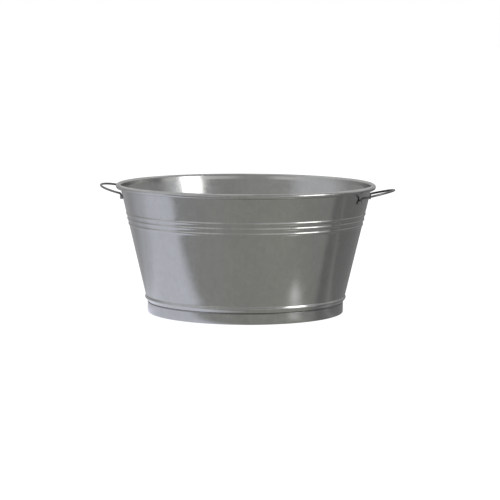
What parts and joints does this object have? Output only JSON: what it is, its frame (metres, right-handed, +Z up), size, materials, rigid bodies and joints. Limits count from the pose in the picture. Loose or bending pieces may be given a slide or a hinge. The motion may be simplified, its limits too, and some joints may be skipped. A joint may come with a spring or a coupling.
{
  "type": "galvanised steel tub",
  "caption": "Round, tapered galvanised steel tub with a rolled rim, beaded wall, recessed bottom and fixed wire handles on opposite sides.",
  "frame": {"origin": "centre of the circle that the foot of the tub stands on, on the ground plane", "axes": "+Z up out of the tub's mouth; +X through the middle of the right handle, -X through the left handle; -Y is the front"},
  "size_m": [0.5148, 0.445, 0.22],
  "materials": {
    "galvanised_sheet": "satin galvanised zinc, soft mottled spangle",
    "galvanised_pan": "satin galvanised zinc, slightly duller",
    "handle_wire": "zinc-plated round wire",
    "hoop_wire": "plain steel wire",
    "ear_sheet": "pressed zinc-plated sheet",
    "rivet_steel": "zinc-plated rivet"
  },
  "bodies": {
    "root": {"front_wall": "galvanised_sheet", "back_wall": "galvanised_sheet", "bottom_pan": "galvanised_pan", "rim_wire": "hoop_wire", "left_handle": "handle_wire", "right_handle": "handle_wire", "ear_right_front": "ear_sheet", "ear_right_rear": "ear_sheet", "ear_left_front": "ear_sheet", "ear_left_rear": "ear_sheet", "rivet_right_front_1": "rivet_steel", "rivet_right_front_2": "rivet_steel", "rivet_right_rear_1": "rivet_steel", "rivet_right_rear_2": "rivet_steel", "rivet_left_front_1": "rivet_steel", "rivet_left_front_2": "rivet_steel", "rivet_left_rear_1": "rivet_steel", "rivet_left_rear_2": "rivet_steel"}
  },
  "joints": []
}
